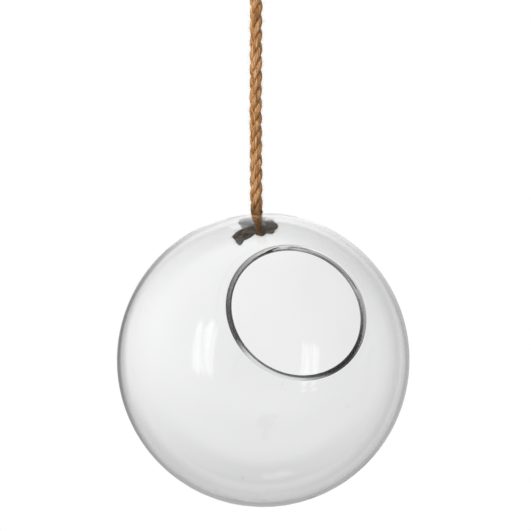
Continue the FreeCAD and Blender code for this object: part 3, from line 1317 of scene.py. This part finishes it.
    def mesh(self) -> Mesh:
        """Makes the whole shell as one closed mesh.

        Returns:
            The shell, with its normals outwards.
        """
        grid = self.directions(self.bead_angle + self.blend_reach / self.middle)
        last = grid[-1]
        steps = self.blend_reach * (1 - np.linspace(0, 1, self.blend_rings + 1)[1:]) ** self.blend_curve
        turns = np.linspace(math.pi / 2, -math.pi / 2, self.bead_rings + 2)[1:-1]
        hole_turns = np.linspace(-math.pi / 2, math.pi / 2, self.hole_rings + 2)[1:-1]
        half, edge = self.bead / 2, self.wall / 2
        rings = [row * (self.middle + edge) for row in grid]
        rings += [self.rim_ring(last, step, self.thickness(step) / 2) for step in steps]
        rings += [self.rim_ring(last, -half * math.cos(turn), half * math.sin(turn)) for turn in turns]
        rings += [self.rim_ring(last, step, -self.thickness(step) / 2) for step in steps[::-1]]
        rings += [self.inner_ring(row) for row in grid[::-1]]
        for turn in hole_turns:
            reach = self.hole_angle * self.middle - edge * math.cos(turn)
            height = math.cos(self.hole_angle) * self.middle + edge * math.sin(turn)
            rings.append(ring_about(grid[0], self.hole_axis, reach, height))
        blocks = [np.concatenate(rings) + self.centre]
        faces: list[tuple[int, ...]] = []
        for index in range(len(rings)):
            following = (index + 1) % len(rings)
            faces += ring_faces(following * self.segments, index * self.segments, self.segments)
        base = len(blocks[0])
        for seed in self.seeds:
            blocks.append(self.bubble(*seed))
            faces += [face[::-1] for face in tube_faces(base, self.bubble_rings, self.bubble_sides)]
            base += len(blocks[-1])
        points = np.concatenate(blocks)
        mesh = smooth_mesh("glass_globe", points, faces)
        self.true_normals(mesh, len(grid), len(rings))
        # The lip's painted shade (tint) and painted glow (light), kept as attributes.
        tint, light = self.lip_shade_and_glow(points - self.centre)
        store_attribute(mesh, "lip", "FLOAT", tint)
        store_attribute(mesh, "guided_light", "FLOAT", light)
        return mesh

    def true_normals(self, mesh: Mesh, grid_rings: int, all_rings: int) -> None:
        """Gives the ball's two surfaces the normals of a true sphere, so that its edge looks smooth.

        Args:
            mesh: The shell.
            grid_rings: Rings on each surface of the ball.
            all_rings: Rings in all, of which the last ones before the hole are the inner surface's.
        """
        normals = np.array([vertex.normal for vertex in mesh.vertices])
        away = unit(corners(mesh) - self.centre)
        outer = slice(self.segments, (grid_rings - 1) * self.segments)
        normals[outer] = away[outer]
        last = all_rings - self.hole_rings
        inner = slice((last - grid_rings + 1) * self.segments, (last - 1) * self.segments)
        normals[inner] = -away[inner]
        mesh.normals_split_custom_set_from_vertices(normals.tolist())

    def build(self) -> None:
        """Builds the globe and sets it on its body."""
        mesh = self.mesh()
        globe = new_object("glass_globe_shell", mesh, self.finish.material())
        Seat(Body.GLOBE).place(globe)
        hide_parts("glass_globe")
        log.info("glass globe: %d faces, radius %.1f mm", len(mesh.polygons), self.radius / MM)


# Studio


@dataclass(frozen=True)
class SurroundSide:
    """How bright the studio is on one side, from the backdrop's middle round to the back.

    Attributes:
        across: True for left and right, false for top and bottom.
        sign: The side's direction along its axis.
        greys: Degrees from the backdrop's middle, each with its brightness.
    """

    across: bool
    sign: int
    greys: Pairs


LEFT_SIDE = SurroundSide(True, -1, (
    (0, 0.90), (5, 0.96), (10, 1.0), (15, 0.95), (20, 0.30), (29, 0.24),
    (38, 0.6), (50, 1.0), (80, 0.9), (112, 0.6), (180, 0.40),
))
RIGHT_SIDE = SurroundSide(True, 1, (
    (0, 0.90), (4.5, 0.845), (9, 0.77), (15, 0.67), (21, 0.56), (31, 0.46),
    (46, 0.62), (90, 0.66), (120, 0.48), (180, 0.40),
))
UPPER_SIDE = SurroundSide(False, 1, (
    (0, 0.90), (5, 1.02), (9, 1.15), (15, 1.15), (24, 1.0), (38, 0.92),
    (44, 0.25), (64, 0.2), (78, 0.8), (115, 0.5), (180, 0.40),
))
LOWER_SIDE = SurroundSide(False, -1, (
    (0, 0.90), (9, 0.90), (12, 0.84), (15, 0.74), (20, 0.59), (30, 0.47),
    (46, 0.44), (90, 0.68), (180, 0.50),
))


@dataclass(frozen=True)
class Softbox:
    """A soft panel that faces the globe, with the folds of its cloth.

    Attributes:
        name: The light's name.
        azimuth: Degrees from the camera's side, to the right.
        elevation: Degrees above the globe's middle.
        size: Width and height, in metres.
        power: Watts.
        in_glass: Whether the glass mirrors it.
        distance: Distance from the globe's middle, in metres.
        lean: How far its folds lean, in degrees.
        folds: Folds across the cloth and up it.
        crease_slope: Slope of its one crease.
        crease_place: How far across the cloth the crease lies.
        raggedness: How ragged its edges are.
        edges: Softness of the left and right edges and their share of that, and the same of the
            other two.
    """

    name: str
    azimuth: float
    elevation: float
    size: tuple[float, float]
    power: float
    in_glass: bool
    distance: float = 1.2
    lean: float = 20.0
    folds: tuple[float, float] = (5.0, 1.1)
    crease_slope: float = 0.45
    crease_place: float = 0.70
    raggedness: float = 0.55
    edges: Pairs = ((0.16, 0.25), (0.20, 1.0))

    def build(self) -> None:
        """Places the light and sets how it is seen."""
        data = bpy.data.lights.new(self.name, "AREA")
        data.shape = "RECTANGLE"
        data.size, data.size_y = self.size
        data.energy = self.power
        light = bpy.data.objects.new(self.name, data)
        bpy.context.collection.objects.link(light)
        away = direction(self.azimuth, self.elevation)
        light.location = Vector(GLOBE_CENTRE) + away * self.distance
        light.rotation_euler = away.to_track_quat("Z", "Y").to_euler()
        light.visible_camera = False
        light.visible_glossy = self.in_glass
        light.visible_transmission = self.in_glass
        board = NodeBoard.of(data)
        glow = board.add("ShaderNodeEmission", {"Strength": self.cloth(board)})
        board.add("ShaderNodeOutputLight", {"Surface": glow.outputs[0]})

    def cloth(self, board: NodeBoard) -> NodeSocket:
        """Lays folds, one slanted crease and ragged soft edges over the cloth.

        Args:
            board: The light's board.

        Returns:
            The brightness over the cloth.
        """
        place = board.add("ShaderNodeNewGeometry").outputs["Parametric"]
        aside, up, _ = board.parts(place)
        slanted = board.mapped(place, (0.0, 0.0, math.radians(self.lean)), (*self.folds, 1.0))
        folds = board.noise(slanted, scale=0.8, detail=3.0)
        brightness = board.rise(folds, low=0.3, high=0.7, bottom=0.62, top=1.1)
        slope = board.math("ADD", aside, board.math("MULTIPLY", up, self.crease_slope))
        crease = board.math("ABSOLUTE", board.math("SUBTRACT", slope, self.crease_place))
        shade = board.rise(crease, low=0.0, high=0.10, bottom=0.45)
        brightness = board.math("MULTIPLY", brightness, shade)
        ragged = board.math("MULTIPLY", board.math("SUBTRACT", folds, 0.5), self.raggedness)
        for share, (soft, rough) in zip((aside, up), self.edges):
            inward = board.math("MINIMUM", share, board.math("SUBTRACT", 1.0, share))
            inward = board.math("ADD", inward, board.math("MULTIPLY", ragged, rough))
            brightness = board.math("MULTIPLY", brightness, board.rise(inward, low=0.02, high=soft))
        return brightness


@dataclass(frozen=True)
class Studio:
    """A white studio: surround, softboxes, floor and camera.

    Attributes:
        camera_place: The camera's place, in metres.
        lens: Focal length, in millimetres.
        floor_height: Height of the floor, in metres.
        floor_radius: Radius of the floor, in metres.
        floor_corners: Corners round the floor.
        sides: Brightness of the surround's four sides.
        least_share: What keeps the sides' shares whole straight ahead.
        softboxes: The lights.
    """

    camera_place: Triple = (0.0062, -0.6134, -0.291)
    lens: float = 59.7
    floor_height: float = -1.3
    floor_radius: float = 9.0
    floor_corners: int = 96
    sides: tuple[SurroundSide, ...] = (LEFT_SIDE, RIGHT_SIDE, UPPER_SIDE, LOWER_SIDE)
    least_share: float = 1e-6
    softboxes: tuple[Softbox, ...] = (
        Softbox("left_softbox", -44.0, 10.0, (0.42, 0.92), 1.95, True),
        Softbox("panel_above", -171.0, 50.0, (0.30, 0.22), 0.15, True),
        Softbox("front_key", -28.0, 22.0, (1.1, 1.1), 20.5, False),
    )

    def camera(self) -> None:
        """Places the camera at the photograph's viewing angle."""
        data = bpy.data.cameras.new("camera")
        data.lens = self.lens
        data.sensor_width = 36.0
        data.clip_start = 0.01
        camera = bpy.data.objects.new("camera", data)
        camera.location = self.camera_place
        camera.rotation_euler = (math.radians(90.0), 0.0, 0.0)
        bpy.context.collection.objects.link(camera)
        bpy.context.scene.camera = camera
        bpy.context.scene.view_settings.view_transform = "Standard"

    def world(self) -> None:
        """A white backdrop with darker flanks, a dim room in front, and white behind all for the lens."""
        world = bpy.data.worlds.new("studio_surround")
        bpy.context.scene.world = world
        board = NodeBoard.of(world)
        x, y, z = board.parts(board.add("ShaderNodeTexCoord").outputs["Generated"])
        away = board.math("DEGREES", board.math("ARCCOSINE", y))
        level = board.math("MULTIPLY", x, x)
        upright = board.math("MULTIPLY", z, z)
        whole = board.math("ADD", board.math("ADD", level, upright), self.least_share)
        total: object = 0.0
        for side in self.sides:
            along, square = (x, level) if side.across else (z, upright)
            ahead = board.math("GREATER_THAN", board.math("MULTIPLY", along, float(side.sign)), 0.0)
            part = board.math("MULTIPLY", square, ahead)
            part = board.math("ADD", part, self.least_share / len(self.sides))
            share = board.math("DIVIDE", part, whole)
            value = board.math("MULTIPLY", board.ramp(away, side.greys, 180.0), share)
            total = board.math("ADD", total, value)
        seen = board.add("ShaderNodeLightPath").outputs["Is Camera Ray"]
        strength = board.add("ShaderNodeMix", {0: seen, 2: total, 3: 1.0}, data_type="FLOAT")
        light = board.add("ShaderNodeBackground", {"Color": WHITE, "Strength": strength.outputs[0]})
        board.add("ShaderNodeOutputWorld", {"Surface": light.outputs[0]})

    def floor(self) -> None:
        """A wide pale floor well below the vase, which only the lens sees."""
        turns = np.arange(self.floor_corners) * math.tau / self.floor_corners
        circle = np.stack([np.cos(turns), np.sin(turns), np.zeros_like(turns)], axis=1)
        ring = circle * self.floor_radius + (0.0, 0.0, self.floor_height)
        mesh = smooth_mesh("pale_floor", ring, [range(self.floor_corners)])
        material = bpy.data.materials.new("pale_floor")
        board = NodeBoard.of(material)
        glow = board.add("ShaderNodeEmission", {"Color": WHITE})
        open_way = board.add("ShaderNodeBsdfTransparent")
        seen = board.add("ShaderNodeLightPath").outputs["Is Camera Ray"]
        choice = board.add("ShaderNodeMixShader", {0: seen, 1: open_way.outputs[0], 2: glow.outputs[0]})
        board.add("ShaderNodeOutputMaterial", {"Surface": choice.outputs[0]})
        new_object("pale_floor", mesh, material)

    def build(self) -> None:
        """Builds the studio."""
        self.camera()
        self.world()
        self.floor()
        for softbox in self.softboxes:
            softbox.build()


def main() -> None:
    """Builds the vase and its studio."""
    logging.basicConfig(level=logging.INFO, format="%(name)s: %(message)s")
    Studio().build()
    # Darker jute tones: painted shade for the knot and tail inside the glass.
    shaded_knot = JuteFibre(linear(46, 37, 28), linear(110, 91, 70), linear(172, 148, 118))
    JuteRope(LaidRope(), JuteFibre(), shaded_knot, LooseFibres()).build()
    GlassGlobe().build()


if __name__ == "__main__":
    main()
